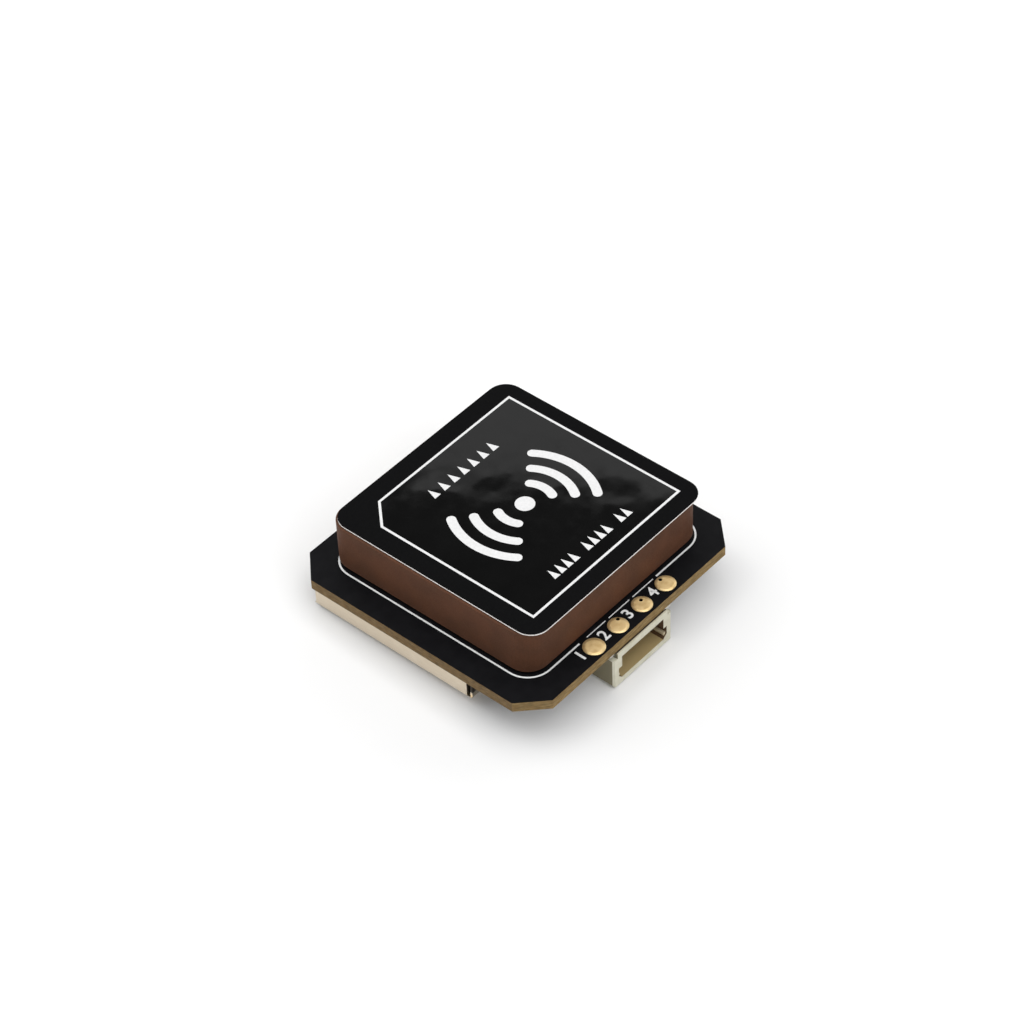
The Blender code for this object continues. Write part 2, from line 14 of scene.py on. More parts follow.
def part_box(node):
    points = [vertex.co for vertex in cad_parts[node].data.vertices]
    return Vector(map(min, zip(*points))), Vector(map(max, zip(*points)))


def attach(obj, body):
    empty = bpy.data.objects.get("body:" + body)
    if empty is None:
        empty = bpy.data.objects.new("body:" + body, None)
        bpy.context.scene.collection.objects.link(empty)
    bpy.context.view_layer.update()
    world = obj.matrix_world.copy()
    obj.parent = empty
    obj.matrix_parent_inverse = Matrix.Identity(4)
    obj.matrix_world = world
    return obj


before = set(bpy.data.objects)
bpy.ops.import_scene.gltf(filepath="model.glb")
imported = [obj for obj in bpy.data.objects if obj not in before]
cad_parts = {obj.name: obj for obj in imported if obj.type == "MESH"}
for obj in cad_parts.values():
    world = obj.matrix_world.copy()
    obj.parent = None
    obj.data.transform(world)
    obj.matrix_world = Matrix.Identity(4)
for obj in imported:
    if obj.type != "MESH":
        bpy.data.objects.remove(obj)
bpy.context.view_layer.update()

MM = 0.001
BODY = "root"
EVEN = (1.0, 1.0, 1.0)
# Numbers of the solder pads, and of the connector's contacts
NUMBERS = range(1, 5)

# Printing on the label
PRINT_THICKNESS = 0.012 * MM
GLOSS_THICKNESS = 0.005 * MM
FRAME_WIDTH = 0.18 * MM
FRAME_LEFT = -7.324 * MM
FRAME_RIGHT = 7.736 * MM
FRAME_FRONT = -7.622 * MM
FRAME_BACK = 7.477 * MM
FRAME_CUT_X = 1.676 * MM
FRAME_CUT_Y = 1.766 * MM
DOT_X = 0.341 * MM
DOT_Y = -0.326 * MM
DOT_RADIUS = 0.7 * MM
DOT_SEGMENTS = 48
WAVE_WIDTH = 0.68 * MM
WAVE_STEPS = 12
WAVE_STEPS_PER_RING = 8
# Each wave's radius, and the angles in degrees where it starts and ends
RIGHT_WAVES = ((2.0 * MM, -26.0, 31.0), (3.47 * MM, -36.0, 34.0), (4.97 * MM, -39.5, 35.0))
LEFT_WAVES = ((1.95 * MM, 153.0, 207.0), (3.6 * MM, 149.0, 213.0), (5.12 * MM, 146.0, 215.0))
MARK_HEIGHT = 0.93 * MM
MARK_BASE = 0.6 * MM
MARK_SHARE = 0.8
# Each row's name, the two ends of its base line, its place along Y and the sizes of its groups
MARK_ROWS = (
    ("top", (-3.29 * MM, 3.71 * MM), 4.72 * MM, (7,)),
    ("front", (-3.89 * MM, 4.31 * MM), -6.51 * MM, (4, 4, 2)),
)

# Printing on the board
INK_THICKNESS = 0.015 * MM
OUTLINE_LEFT = -9.26 * MM
OUTLINE_RIGHT = 9.12 * MM
OUTLINE_FRONT = -9.26 * MM
OUTLINE_BACK = 8.93 * MM
OUTLINE_RADIUS = 1.85 * MM
OUTLINE_WIDTH = 0.13 * MM
OUTLINE_CORNER_STEPS = 12
DASH_WIDTH = 0.075 * MM
OUTLINE_CLEARANCE = 0.22 * MM
NUMERAL_HEIGHT = 0.93 * MM
NUMERAL_SHIFTS_X = (-1.15 * MM, -1.25 * MM, -1.25 * MM, -1.15 * MM)
NUMERAL_SHIFT_Y = 0.22 * MM
NUMERAL_WEIGHT = 0.02
NUMERAL_EXTRUDE = 0.05
NUMERAL_MERGE = 0.00001

# Board: the cut of its corners, and how near its rim the laminate shows
BOARD_CUT = 1.88 * MM
RIM = 0.05 * MM

# Solder pads: where the rounding of the rim starts and ends, as shares of the pad's width
PAD_DOME_START = 0.36
PAD_DOME_END = 0.5

# Share of a piece's length at each end that is metal, and of a lid's height
CAP_SHARE = 0.22
LEAD_SHARE = 0.2
LID_SHARE = 0.16

# Solder under the board: width and height of the fillets, and where they lie along the can
FILLET_POINTS = 5
PART_FILLET = (0.3 * MM, 0.3 * MM)
CAN_FILLET = (0.35 * MM, 0.3 * MM)
CAN_FILLET_LENGTH = 2.2 * MM
CAN_FILLET_SHARES = (0.15, 0.5, 0.85)
CONTACT_FILLET = (0.3 * MM, 0.18 * MM)

# Inside of the connector's mouth, where shade is painted: its walls, the grooves at its ends and
# the guide ribs in them
MOUTH_SIDE_WALL = 0.5 * MM
MOUTH_FLOOR_WALL = 0.18 * MM
MOUTH_LIP = 0.03 * MM
MOUTH_GROOVE = 0.4 * MM
MOUTH_GROOVE_RISE = 0.08 * MM
KEY_REACH = 0.28 * MM
KEY_LOW = 0.58 * MM
KEY_HIGH = 0.88 * MM
KEY_LENGTH = 2.6 * MM
KEY_SETBACK = 0.12 * MM
KEY_STEPS = 6
SLIT_START = 0.1 * MM

# Shield can: the bend of its foot, and how far the painted shade reaches on the foot, in the open
# front corners and at the ends of the front wall
CAN_BEND = 0.4 * MM
CAN_FOOT_SHADE_FULL = 0.2 * MM
CAN_FOOT_CLEAR = 0.33 * MM
CAN_FOOT_DEPTH = 0.2 * MM
CAN_CORNER_WIDTH = 0.8 * MM
CAN_CORNER_START = 0.3 * MM
CAN_CORNER_DEPTH = 0.23 * MM
CAN_CORNER_RISE = 0.75 * MM
CAN_END_WIDTH = 1.5 * MM
CAN_END_DEPTH = 0.02 * MM

# Camera, from the photograph
CAMERA_AZIMUTH = -47.273
CAMERA_ELEVATION = 44.195
CAMERA_ROLL = -2.815
CAMERA_DISTANCE = 222.03 * MM
CAMERA_RIGHT = -0.302 * MM
CAMERA_UP = 2.271 * MM
CAMERA_LENS = 114.66
CAMERA_SENSOR = 36.0
CAMERA_CLIP = (0.01, 10.0)

# Shares of a face's direction from which it counts as level or as an end
LEVEL_LIMIT = 0.5
END_LIMIT = 0.9

# Floor and surroundings
FLOOR_HALF = 1.5
FLOOR_SEGMENTS = 8
FLOOR_PLAIN = (0.79, 0.79, 0.79, 1.0)
FLOOR_DARK = (0.785, 0.785, 0.785, 1.0)
FLOOR_LIGHT = (0.795, 0.795, 0.795, 1.0)
FLOOR_CLOUD = 40 * MM
FLOOR_GLOW = 0.075
WHITE = (1.0, 1.0, 1.0, 1.0)
WORLD_STRENGTH = 0.15

# Lights, all at one distance from the antenna: azimuth, elevation, side and radiance
LIGHT_DISTANCE = 1.0
SOFTBOXES = (
    ("overhead_softbox", 0.0, 90.0, 1.0, 1.8),
    ("front_softbox", -2.0, 45.0, 0.8, 2.2),
    ("left_softbox", 223.0, 45.0, 0.8, 2.0),
)

# Pale wall behind the module: azimuth, width, elevation of the top edge and radiance of its panels
WALL_PANELS = (
    ("right_wall", 80.0, 0.8, 43.0, 1.4),
    ("back_wall", 124.0, 0.39, 44.05, 1.2),
    ("left_wall", 168.0, 0.8, 43.0, 1.2),
)


def middle_of(name):
    low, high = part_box(name)
    return (Vector(low) + Vector(high)) / 2


antenna = middle_of("antenna_ceramic")
label = middle_of("antenna_label")
label_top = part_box("antenna_label")[1][2]
board_low, board_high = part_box("circuit_board")
board_top = board_high[2]
board_bottom = board_low[2]


def srgb(red, green, blue):
    """A colour as a picture holds it, 0 to 255, turned to linear light."""
    def to_linear(value):
        share = value / 255
        return share / 12.92 if share <= 0.04045 else ((share + 0.055) / 1.055) ** 2.4

    return (to_linear(red), to_linear(green), to_linear(blue), 1.0)


def new_material(name, colour, roughness, metallic=0.0, specular=0.5):
    made = bpy.data.materials.new(name)
    made.use_nodes = True
    shader = made.node_tree.nodes["Principled BSDF"]
    shader.inputs["Base Color"].default_value = colour
    shader.inputs["Roughness"].default_value = roughness
    shader.inputs["Metallic"].default_value = metallic
    shader.inputs["Specular IOR Level"].default_value = specular
    return made, made.node_tree, shader


def node(tree, kind, inputs, **settings):
    """A shader node with its settings, and with its inputs set or linked."""
    made = tree.nodes.new("ShaderNode" + kind)
    for key, value in settings.items():
        setattr(made, key, value)
    for key, value in inputs.items():
        if isinstance(value, bpy.types.NodeSocket):
            tree.links.new(value, made.inputs[key])
        else:
            made.inputs[key].default_value = value
    return made


def place(tree, stretch=EVEN):
    """Where a point is on the object, shrunk along each axis by the stretch of the grain there."""
    here = tree.nodes.new("ShaderNodeTexCoord").outputs["Object"]
    scale = [1.0 / share for share in stretch]
    return node(tree, "Mapping", {"Vector": here, "Scale": scale}).outputs["Vector"]


def grain(tree, size, detail=3.0, stretch=EVEN, shift=0.0):
    """Noise from 0 to 1 with lumps of about the size given."""
    offset = {0: place(tree, stretch), 1: (shift, shift, shift)}
    where = node(tree, "VectorMath", offset, operation="ADD")
    inputs = {"Vector": where.outputs["Vector"], "Scale": 1.0 / size, "Detail": detail}
    return node(tree, "TexNoise", inputs).outputs["Fac"]


def spread(tree, value, low, high, from_low=0.35, from_high=0.65):
    """A value moved from one range to another, and kept within it."""
    inputs = {
        "Value": value,
        "From Min": from_low,
        "From Max": from_high,
        "To Min": low,
        "To Max": high,
    }
    return node(tree, "MapRange", inputs).outputs["Result"]


def arithmetic(tree, operation, first, second=0.0):
    return node(tree, "Math", {0: first, 1: second}, operation=operation).outputs["Value"]


def blend_colours(tree, share, first, second):
    made = node(tree, "Mix", {"Factor": share, 6: first, 7: second}, data_type="RGBA")
    return made.outputs[2]


def blend_values(tree, share, first, second):
    return node(tree, "Mix", {"Factor": share, 2: first, 3: second}, data_type="FLOAT").outputs[0]


def relief(tree, shader, height, depth):
    """Bumps in a finish, as deep as given."""
    bump = node(tree, "Bump", {"Height": height, "Distance": depth, "Strength": 1.0})
    tree.links.new(bump.outputs["Normal"], shader.inputs["Normal"])


def side_share(tree):
    """1 on faces that look sideways, and 0 on those that look up or down."""
    facing = tree.nodes.new("ShaderNodeTexCoord").outputs["Normal"]
    upright = node(tree, "SeparateXYZ", {"Vector": facing}).outputs["Z"]
    return arithmetic(tree, "LESS_THAN", arithmetic(tree, "ABSOLUTE", upright), LEVEL_LIMIT)


def end_share(tree):
    """1 on faces that look along X, and 0 on the others."""
    facing = tree.nodes.new("ShaderNodeTexCoord").outputs["Normal"]
    along = node(tree, "SeparateXYZ", {"Vector": facing}).outputs["X"]
    return arithmetic(tree, "GREATER_THAN", arithmetic(tree, "ABSOLUTE", along), END_LIMIT)


def share_along(tree, axis):
    """How far a point lies along its own piece, from 0 to 1."""
    within = tree.nodes.new("ShaderNodeTexCoord").outputs["Generated"]
    return node(tree, "SeparateXYZ", {"Vector": within}).outputs[axis]


def via_share(tree):
    """1 away from the board's rim, where only the holes have upright walls, and 0 at the rim."""
    middle = (Vector(board_low) + Vector(board_high)) / 2
    half_x = (board_high[0] - board_low[0]) / 2
    half_y = (board_high[1] - board_low[1]) / 2
    here = node(tree, "SeparateXYZ", {"Vector": place(tree)})
    from_x = arithmetic(tree, "ABSOLUTE", arithmetic(tree, "SUBTRACT", here.outputs["X"], middle.x))
    from_y = arithmetic(tree, "ABSOLUTE", arithmetic(tree, "SUBTRACT", here.outputs["Y"], middle.y))
    corner = arithmetic(tree, "ADD", from_x, from_y)
    share = arithmetic(tree, "LESS_THAN", from_x, half_x - RIM)
    share = arithmetic(tree, "MULTIPLY", share, arithmetic(tree, "LESS_THAN", from_y, half_y - RIM))
    reach = arithmetic(tree, "LESS_THAN", corner, half_x + half_y - BOARD_CUT - RIM)
    return arithmetic(tree, "MULTIPLY", share, reach)


def board_finish():
    """Black solder mask above and below, and bare glass-fibre laminate on the cut edge, with
    painted shade: a darker laminate on the edges that look along X, and near black in the via
    holes.
    """
    made, tree, shader = new_material("board_mask", srgb(18, 18, 20), 0.5, specular=0.05)
    mask_share = spread(tree, grain(tree, 0.9 * MM), 0, 1)
    mask = blend_colours(tree, mask_share, srgb(16, 16, 18), srgb(20, 20, 22))
    layers = grain(tree, 0.5 * MM, 4.0, (1.0, 1.0, 0.16))
    resin = grain(tree, 0.35 * MM, 2.0, (1.0, 1.0, 0.7), shift=3.0)
    layer_share = spread(tree, layers, 0, 1)
    laminate_facing_y = blend_colours(tree, layer_share, srgb(116, 99, 69), srgb(158, 134, 93))
    # The cut edges that look along X get a darker copy of the laminate: painted shade.
    laminate_painted_shade_x = blend_colours(tree, layer_share, srgb(94, 80, 60), srgb(136, 115, 85))
    laminate = blend_colours(tree, end_share(tree), laminate_facing_y, laminate_painted_shade_x)
    laminate = blend_colours(tree, spread(tree, resin, 0, 0.5), laminate, srgb(124, 98, 63))
    # The walls of the via holes are painted near black: painted shade inside the holes.
    laminate = blend_colours(tree, via_share(tree), laminate, srgb(6, 6, 6))
    side = side_share(tree)
    tree.links.new(blend_colours(tree, side, mask, laminate), shader.inputs["Base Color"])
    sheen = spread(tree, grain(tree, 0.25 * MM), 0.42, 0.55)
    tree.links.new(blend_values(tree, side, sheen, 0.85), shader.inputs["Roughness"])
    relief(tree, shader, grain(tree, 0.12 * MM, 5.0), 0.002 * MM)
    return made


def gold_finish():
    """Gold over nickel: satin, with faint swirls from plating."""
    made, tree, shader = new_material("pad_gold", srgb(240, 208, 148), 0.6, metallic=0.75)
    swirl = grain(tree, 0.35 * MM, 4.0)
    swirl_share = spread(tree, swirl, 0, 1)
    colour = blend_colours(tree, swirl_share, srgb(244, 212, 150), srgb(252, 226, 172))
    tree.links.new(colour, shader.inputs["Base Color"])
    across = [arithmetic(tree, "SUBTRACT", share_along(tree, axis), 0.5) for axis in ("X", "Y")]
    squares = [arithmetic(tree, "MULTIPLY", value, value) for value in across]
    radius = arithmetic(tree, "SQRT", arithmetic(tree, "ADD", *squares))
    dome = spread(tree, radius, 1, 0, PAD_DOME_START, PAD_DOME_END)
    finish = blend_values(tree, dome, 0.3, spread(tree, swirl, 0.52, 0.68))
    tree.links.new(finish, shader.inputs["Roughness"])
    lumps = arithmetic(tree, "MULTIPLY", grain(tree, 0.25 * MM, 3.0), 0.15)
    relief(tree, shader, arithmetic(tree, "ADD", dome, lumps), 0.06 * MM)
    return made


def ceramic_finish():
    """Fired brown ceramic, matt and slightly speckled."""
    made, tree, shader = new_material("ceramic_brown", srgb(88, 56, 43), 0.62, specular=0.15)
    mottle = grain(tree, 1.6 * MM, 3.0)
    speckle = grain(tree, 0.08 * MM, 2.0, shift=5.0)
    colour = blend_colours(tree, spread(tree, mottle, 0, 1), srgb(87, 57, 40), srgb(97, 62, 43))
    colour = blend_colours(tree, spread(tree, speckle, 0, 0.25), colour, srgb(66, 43, 33))
    tree.links.new(colour, shader.inputs["Base Color"])
    tree.links.new(spread(tree, speckle, 0.56, 0.7), shader.inputs["Roughness"])
    relief(tree, shader, speckle, 0.004 * MM)
    return made


def label_finish():
    """Matt black film with a pale cut edge."""
    made, tree, shader = new_material("label_film", srgb(10, 10, 11), 0.6, specular=0.04)
    film_share = spread(tree, grain(tree, 0.3 * MM), 0, 1)
    film = blend_colours(tree, film_share, srgb(7, 7, 8), srgb(9, 9, 10))
    paper_share = spread(tree, grain(tree, 0.6 * MM, 3.0), 0, 1)
    paper = blend_colours(tree, paper_share, srgb(236, 231, 227), srgb(250, 247, 245))
    tree.links.new(blend_colours(tree, side_share(tree), film, paper), shader.inputs["Base Color"])
    tree.links.new(spread(tree, grain(tree, 0.1 * MM), 0.55, 0.68), shader.inputs["Roughness"])
    relief(tree, shader, grain(tree, 0.1 * MM, 4.0), 0.0015 * MM)
    return made


def gloss_finish():
    """Clear varnish over black, not quite flat, so that its reflections waver."""
    made, tree, shader = new_material("label_gloss", srgb(9, 9, 9), 0.04, specular=0.22)
    film_share = spread(tree, grain(tree, 2.0 * MM), 0, 1)
    film = blend_colours(tree, film_share, srgb(7, 7, 7), srgb(10, 10, 10))
    tree.links.new(film, shader.inputs["Base Color"])
    waver = grain(tree, 4.0 * MM, 1.5)
    haze = spread(tree, grain(tree, 1.0 * MM, 4.0, shift=2.0), 0.03, 0.06)
    tree.links.new(haze, shader.inputs["Roughness"])
    relief(tree, shader, waver, 0.018 * MM)
    return made


def ink_finish(name, dark, light):
    """Screen-printed ink, matt and not quite even."""
    made, tree, shader = new_material(name, light, 0.6, specular=0.25)
    share = spread(tree, grain(tree, 0.2 * MM, 3.0), 0, 1)
    tree.links.new(blend_colours(tree, share, dark, light), shader.inputs["Base Color"])
    tree.links.new(spread(tree, grain(tree, 0.08 * MM), 0.5, 0.7), shader.inputs["Roughness"])
    relief(tree, shader, grain(tree, 0.06 * MM, 3.0), 0.002 * MM)
    return made


def sheet_finish(name, dark, light, roughness, stretch=EVEN, paint_shade=None):
    """Rolled and plated sheet, with its grain along the rolling direction."""
    made, tree, shader = new_material(name, light, roughness, metallic=1.0)
    streaks = grain(tree, 0.05 * MM, 3.0, stretch)
    cloud = grain(tree, 2.5 * MM, 3.0, shift=4.0)
    share = arithmetic(tree, "MULTIPLY", spread(tree, streaks, 0, 1), spread(tree, cloud, 0.5, 1))
    colour = blend_colours(tree, share, dark, light)
    # Where a finish is given shade to paint, it is painted into the colour here.
    if paint_shade:
        colour = paint_shade(tree, colour)
    tree.links.new(colour, shader.inputs["Base Color"])
    finish = spread(tree, streaks, roughness - 0.04, roughness + 0.05)
    tree.links.new(finish, shader.inputs["Roughness"])
    relief(tree, shader, streaks, 0.0006 * MM)
    return made


def within_box(tree, low, high):
    """1 at places between two corners, and 0 elsewhere."""
    here = node(tree, "SeparateXYZ", {"Vector": place(tree)})
    share = 1.0
    for axis, nearest, farthest in zip("XYZ", low, high):
        value = here.outputs[axis]
        past_low = arithmetic(tree, "GREATER_THAN", value, nearest)
        share = arithmetic(tree, "MULTIPLY", share, past_low)
        before_high = arithmetic(tree, "LESS_THAN", value, farthest)
        share = arithmetic(tree, "MULTIPLY", share, before_high)
    return share


def can_colour(tree, outside):
    """Painted shade on the shield can's sheet: dark on the bend round its foot and in its open
    front corners, and greyer on the ends of its front wall.
    """
    low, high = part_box("shield_can")
    here = node(tree, "SeparateXYZ", {"Vector": place(tree)})
    # Painted shade on the bend round the can's foot, fading out upwards.
    foot = spread(tree, here.outputs["Z"], 1, 0, low[2] + CAN_FOOT_SHADE_FULL, low[2] + CAN_FOOT_CLEAR)
    inner_low = (low[0] + CAN_FOOT_DEPTH, low[1] + CAN_FOOT_DEPTH, -MM)
    inner_high = (high[0] - CAN_FOOT_DEPTH, high[1] - CAN_FOOT_DEPTH, high[2] + MM)
    inner = within_box(tree, inner_low, inner_high)
    foot = arithmetic(tree, "MULTIPLY", foot, arithmetic(tree, "SUBTRACT", 1.0, inner))
    colour = blend_colours(tree, foot, outside, srgb(96, 88, 68))
    for edge, inward in ((low[0], 1), (high[0], -1)):
        outer = edge - inward * MM
        end = edge + inward * CAN_END_WIDTH
        corner = edge + inward * CAN_CORNER_WIDTH
        # Painted shade, greyer, on the ends of the front wall under the board.
        face_low = (min(outer, end), low[1] - MM, low[2] + CAN_FOOT_CLEAR)
        face_high = (max(outer, end), low[1] + CAN_END_DEPTH, high[2] + MM)
        fade = spread(tree, here.outputs["X"], 1, 0, edge, end)
        face = arithmetic(tree, "MULTIPLY", within_box(tree, face_low, face_high), fade)
        colour = blend_colours(tree, face, colour, srgb(150, 142, 126))
        # Painted shade, dark, in the upper part of each open front corner.
        slot_low = (min(outer, corner), low[1] - MM, low[2] + CAN_CORNER_RISE)
        slot_high = (max(outer, corner), low[1] + CAN_CORNER_DEPTH, high[2] + MM)
        fade = spread(tree, here.outputs["X"], 1, 0, edge + inward * CAN_CORNER_START, corner)
        slot = arithmetic(tree, "MULTIPLY", within_box(tree, slot_low, slot_high), fade)
        colour = blend_colours(tree, slot, colour, srgb(50, 44, 36))
    return colour


def mouth_colour(tree, outside):
    """Painted shade on the housing: a darker, yellower ivory inside its mouth, darker still in the
    end grooves, and dark in the slit under the board.
    """
    low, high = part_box("connector_housing")
    left = low[0] + MOUTH_SIDE_WALL
    right = high[0] - MOUTH_SIDE_WALL
    front = low[1] + MOUTH_LIP
    back = high[1] - MOUTH_LIP
    bottom = low[2] + MOUTH_FLOOR_WALL
    top = high[2] - MOUTH_FLOOR_WALL
    # Painted shade inside the mouth: a darker, yellower ivory.
    mouth = within_box(tree, (left, front, bottom), (right, back, top))
    colour = blend_colours(tree, mouth, outside, srgb(172, 152, 109))
    groove_bottom = bottom + MOUTH_GROOVE_RISE
    # Painted shade, darker still, in the grooves at the mouth's ends.
    for start, end in ((left, left + MOUTH_GROOVE), (right - MOUTH_GROOVE, right)):
        groove = within_box(tree, (start, front, groove_bottom), (end, back, top))
        colour = blend_colours(tree, groove, colour, srgb(96, 74, 52))
    # Painted shadow in the slit between the housing's top and the board.
    slit_low = (low[0], low[1] + SLIT_START, high[2] - MOUTH_LIP)
    slit = within_box(tree, slit_low, (high[0], high[1], board_bottom))
    return blend_colours(tree, slit, colour, srgb(62, 52, 40))


def mould_surface(tree, shader):
    """The fine sparked texture of a satin moulding."""
    tree.links.new(spread(tree, grain(tree, 0.05 * MM), 0.44, 0.58), shader.inputs["Roughness"])
    relief(tree, shader, grain(tree, 0.05 * MM, 3.0), 0.003 * MM)


def housing_finish():
    """Ivory moulding, satin, with painted shade on the faces that look along X and inside the
    mouth.
    """
    made, tree, shader = new_material("housing_ivory", srgb(206, 202, 180), 0.5, specular=0.3)
    cloud = spread(tree, grain(tree, 0.9 * MM, 3.0), 0, 1)
    colour = blend_colours(tree, cloud, srgb(204, 200, 178), srgb(216, 213, 194))
    # Painted shade: the faces that look along X get a darker ivory.
    colour = blend_colours(tree, end_share(tree), colour, srgb(143, 135, 109))
    colour = mouth_colour(tree, colour)
    tree.links.new(colour, shader.inputs["Base Color"])
    mould_surface(tree, shader)
    return made


def key_finish():
    """The housing's ivory, a little darker and warmer, on the guide ribs inside the mouth: painted
    shade.
    """
    made, tree, shader = new_material("key_ivory", srgb(206, 192, 160), 0.5, specular=0.3)
    cloud = spread(tree, grain(tree, 0.4 * MM, 3.0), 0, 1)
    colour = blend_colours(tree, cloud, srgb(196, 182, 150), srgb(216, 204, 174))
    tree.links.new(colour, shader.inputs["Base Color"])
    mould_surface(tree, shader)
    return made


def package_finish():
    """Black moulding compound with a fine grain."""
    made, tree, shader = new_material("package_black", srgb(32, 32, 33), 0.6, specular=0.25)
    speckle = grain(tree, 0.05 * MM, 3.0)
    colour = blend_colours(tree, spread(tree, speckle, 0, 1), srgb(28, 28, 29), srgb(42, 42, 43))
    tree.links.new(colour, shader.inputs["Base Color"])
    tree.links.new(spread(tree, speckle, 0.52, 0.7), shader.inputs["Roughness"])
    relief(tree, shader, speckle, 0.004 * MM)
    return made


def capped_finish(name, dark, light, axis, cap_share=CAP_SHARE):
    """A body with bright solderable ends: the ends are the outer shares along an axis."""
    made, tree, shader = new_material(name, light, 0.5, specular=0.3)
    speckle = grain(tree, 0.06 * MM, 3.0)
    body = blend_colours(tree, spread(tree, speckle, 0, 1), dark, light)
    from_middle = arithmetic(tree, "SUBTRACT", share_along(tree, axis), 0.5)
    from_middle = arithmetic(tree, "ABSOLUTE", from_middle)
    end = arithmetic(tree, "GREATER_THAN", from_middle, 0.5 - cap_share)
    colour = blend_colours(tree, end, body, srgb(206, 206, 202))
    tree.links.new(colour, shader.inputs["Base Color"])
    tree.links.new(end, shader.inputs["Metallic"])
    tree.links.new(blend_values(tree, end, 0.55, 0.3), shader.inputs["Roughness"])
    relief(tree, shader, speckle, 0.003 * MM)
    return made


def lid_finish():
    """A ceramic base, dark, under a seam-welded metal lid, which hangs lowest."""
    made, tree, shader = new_material("lid_package", srgb(196, 190, 172), 0.3)
    streaks = grain(tree, 0.12 * MM, 3.0, (6.0, 1.0, 1.0))
    streak_share = spread(tree, streaks, 0, 1)
    metal = blend_colours(tree, streak_share, srgb(184, 176, 156), srgb(206, 200, 182))
    lid = arithmetic(tree, "LESS_THAN", share_along(tree, "Z"), LID_SHARE)
    tree.links.new(blend_colours(tree, lid, srgb(58, 50, 46), metal), shader.inputs["Base Color"])
    tree.links.new(lid, shader.inputs["Metallic"])
    tree.links.new(blend_values(tree, lid, 0.6, 0.28), shader.inputs["Roughness"])
    relief(tree, shader, streaks, 0.002 * MM)
    return made


def tape_finish():
    """Black foam tape."""
    made, tree, shader = new_material("tape_black", srgb(24, 24, 24), 0.8, specular=0.1)
    weave = grain(tree, 0.15 * MM, 4.0)
    colour = blend_colours(tree, weave, srgb(16, 16, 16), srgb(34, 34, 34))
    tree.links.new(colour, shader.inputs["Base Color"])
    tree.links.new(spread(tree, weave, 0.7, 0.9), shader.inputs["Roughness"])
    relief(tree, shader, weave, 0.004 * MM)
    return made


def dress(finish, *names):
    """Gives CAD nodes a finish in their own material slots."""
    for name in names:
        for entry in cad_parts[name].material_slots:
            entry.material = finish


def add_piece(name, shape, finish):
    """A shape turned into a finished piece that goes with the part."""
    bmesh.ops.recalc_face_normals(shape, faces=shape.faces)
    mesh = bpy.data.meshes.new(name)
    shape.to_mesh(mesh)
    shape.free()
    made = bpy.data.objects.new(name, mesh)
    bpy.context.scene.collection.objects.link(made)
    made.data.materials.append(finish)
    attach(made, BODY)


def prism(shape, outline, low, high):
    """A flat plate with any outline, added to a shape."""
    base = [shape.verts.new((x, y, low)) for x, y in outline]
    top = [shape.verts.new((x, y, high)) for x, y in outline]
    shape.faces.new(base)
    shape.faces.new(top)
    for index in range(len(base)):
        following = (index + 1) % len(base)
        shape.faces.new((base[index], base[following], top[following], top[index]))


def strip(shape, left, right, low, high, closed=False):
    """A flat band between two rails of points, added to a shape."""
    count = len(left)
    rows = [
        [shape.verts.new((x, y, z)) for x, y in rail]
        for rail, z in ((left, low), (right, low), (right, high), (left, high))
    ]
    for index in range(count if closed else count - 1):
        following = (index + 1) % count
        for first, second in zip(rows, rows[1:] + rows[:1]):
            shape.faces.new((first[index], first[following], second[following], second[index]))
    if not closed:
        for index in (0, count - 1):
            shape.faces.new([row[index] for row in rows])


def arc(centre, radius, start, end, steps):
    """Points round a centre, from one angle in degrees to another."""
    points = []
    for index in range(steps + 1):
        angle = math.radians(start + (end - start) * index / steps)
        points.append((centre[0] + radius * math.cos(angle), centre[1] + radius * math.sin(angle)))
    return points


def rails(points, width, closed=False):
    """Two rails at half a width on each side of a line, mitred at its corners."""
    left = []
    right = []
    count = len(points)
    for index, point in enumerate(points):
        before = Vector(points[(index - 1) % count]) if closed or index else None
        after = Vector(points[(index + 1) % count]) if closed or index < count - 1 else None
        here = Vector(point)
        ahead = (after - here).normalized() if after is not None else (here - before).normalized()
        behind = (here - before).normalized() if before is not None else ahead
        first = Vector((-behind.y, behind.x))
        second = Vector((-ahead.y, ahead.x))
        offset = (first + second) * (width / 2) / (1 + first.dot(second))
        left.append(tuple(here + offset))
        right.append(tuple(here - offset))
    return left, right


def rounded_ends(points, width, steps=6):
    """The two rails of a line with round ends."""
    left, right = rails(points, width)
    radius = width / 2
    for end, before in ((0, 1), (-1, -2)):
        tip = Vector(points[end])
        outward = (tip - Vector(points[before])).normalized()
        across = (Vector(left[end]) - tip).normalized()
        for step in range(1, steps):
            angle = math.pi / 2 * step / steps
            reach = outward * (radius * math.sin(angle))
            side = across * (radius * math.cos(angle))
            if end == 0:
                left.insert(0, tuple(tip + reach + side))
                right.insert(0, tuple(tip + reach - side))
            else:
                left.append(tuple(tip + reach + side))
                right.append(tuple(tip + reach - side))
    return left, right


def frame_corners():
    """The label's printed frame: a rectangle with its back left corner cut."""
    left = label.x + FRAME_LEFT
    right = label.x + FRAME_RIGHT
    front = label.y + FRAME_FRONT
    back = label.y + FRAME_BACK
    return [
        (left, front),
        (right, front),
        (right, back),
        (left + FRAME_CUT_X, back),
        (left, back - FRAME_CUT_Y),
    ]


